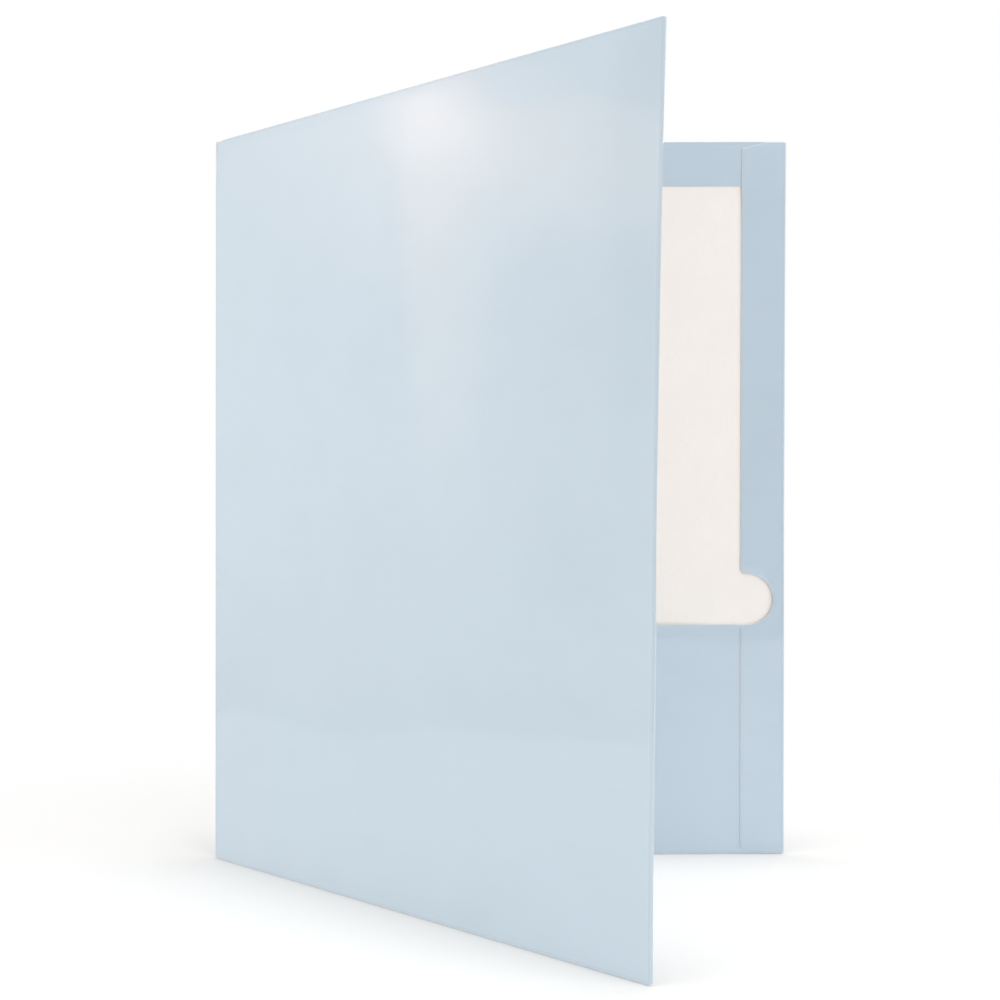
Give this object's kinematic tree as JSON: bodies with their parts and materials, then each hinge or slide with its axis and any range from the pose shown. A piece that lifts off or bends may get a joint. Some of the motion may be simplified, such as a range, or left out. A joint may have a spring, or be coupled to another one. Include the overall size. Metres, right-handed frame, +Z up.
{
  "type": "two pocket folder",
  "caption": "Letter-size folder of coated card standing open, with a pocket along the bottom of each leaf, folded hems, notched side flaps and a creased spine.",
  "frame": {"origin": "middle of the standing folder's bounding box, at floor level", "axes": "+Z up along the spine, +X along the back leaf from the spine to the fore-edge, +Y out of the back leaf's outer face"},
  "size_m": [0.2428, 0.183, 0.3048],
  "materials": {
    "card": "coated card, glossy pale blue outside, uncoated cream inside",
    "glue": "set hot-melt glue"
  },
  "bodies": {
    "spine_strip": {"spine": "card"},
    "back_leaf": {"back_cover": "card", "back_top_fold": "card", "back_top_hem": "card", "back_side_fold": "card", "back_side_flap": "card", "back_bottom_fold": "card", "back_pocket_edge": "card", "back_hem_glue": "glue", "back_pocket_glue": "glue", "back_flap_glue": "glue", "back_corner_glue": "glue"},
    "back_pocket_face": {"back_pocket": "card"},
    "front_leaf": {"front_cover": "card", "front_top_fold": "card", "front_top_hem": "card", "front_side_fold": "card", "front_side_flap": "card", "front_bottom_fold": "card", "front_pocket_edge": "card", "front_hem_glue": "glue", "front_pocket_glue": "glue", "front_flap_glue": "glue", "front_corner_glue": "glue"},
    "front_pocket_face": {"front_pocket": "card"}
  },
  "joints": [
    {"name": "back_cover_swing", "type": "hinge", "parent": "spine_strip", "child": "back_leaf", "pos_m": [-0.11989, 0.08432, 0.1524], "axis": [0, 0, 1], "range_deg": [-22, 68]},
    {"name": "front_cover_swing", "type": "hinge", "parent": "spine_strip", "child": "front_leaf", "pos_m": [-0.12123, 0.08101, 0.1524], "axis": [0, 0, -1], "range_deg": [-22, 68]},
    {"name": "back_pocket_gape", "type": "hinge", "parent": "back_leaf", "child": "back_pocket_face", "pos_m": [-0.00664, 0.08704, 0.00067], "axis": [0.9996, 0.029, 0], "range_deg": [-2, 6.18]},
    {"name": "front_pocket_gape", "type": "hinge", "parent": "front_leaf", "child": "front_pocket_face", "pos_m": [-0.04165, 0.00039, 0.00067], "axis": [-0.6989, 0.7152, 0], "range_deg": [-2, 6.18]}
  ],
  "couplings": [
    {"joint": "back_pocket_gape", "follows": "back_cover_swing", "ratio": 0.090909},
    {"joint": "front_pocket_gape", "follows": "front_cover_swing", "ratio": 0.090909}
  ]
}
